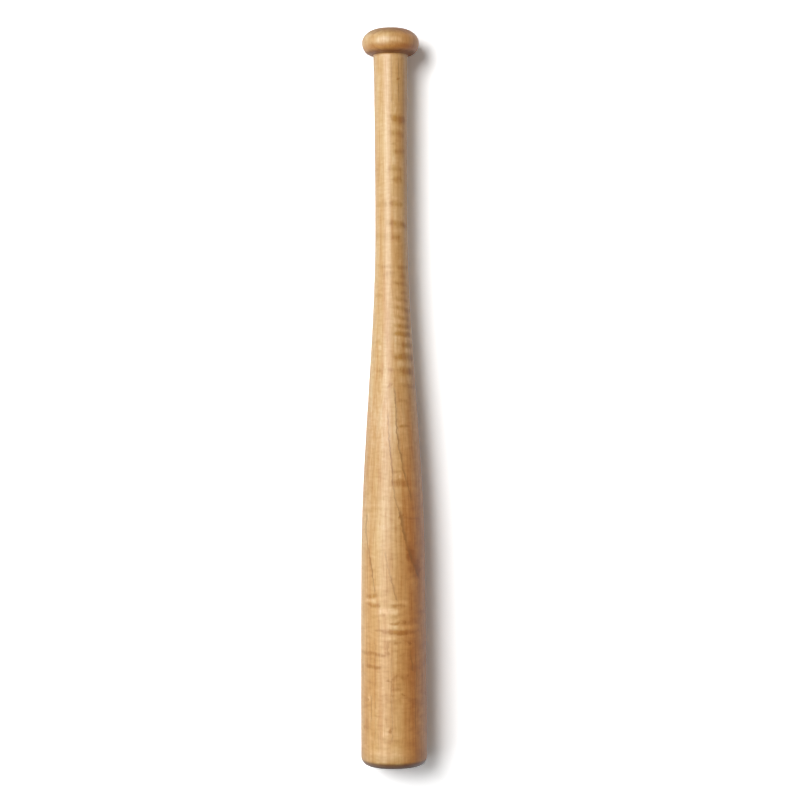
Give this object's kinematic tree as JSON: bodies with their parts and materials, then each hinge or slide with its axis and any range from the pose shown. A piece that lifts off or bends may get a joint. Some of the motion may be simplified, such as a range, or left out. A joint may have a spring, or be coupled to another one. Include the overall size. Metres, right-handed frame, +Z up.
{
  "type": "baseball bat",
  "caption": "Solid wooden baseball bat turned from one length of maple: rounded knob, slim grip, smooth taper and round-edged barrel.",
  "frame": {"origin": "on the ground under the middle of the bat's length and width, where the bat lies on its side", "axes": "+Y runs along the bat from the barrel to the knob, under its own axis, which is 28.4 mm above the ground; +Z up, +X to the right when the knob points away"},
  "size_m": [0.0568, 0.635, 0.0568],
  "materials": {
    "maple": "clear satin lacquer over curly maple, fine grain lengthwise and curl bands across it"
  },
  "bodies": {
    "root": {"bat_body": "maple"}
  },
  "joints": []
}
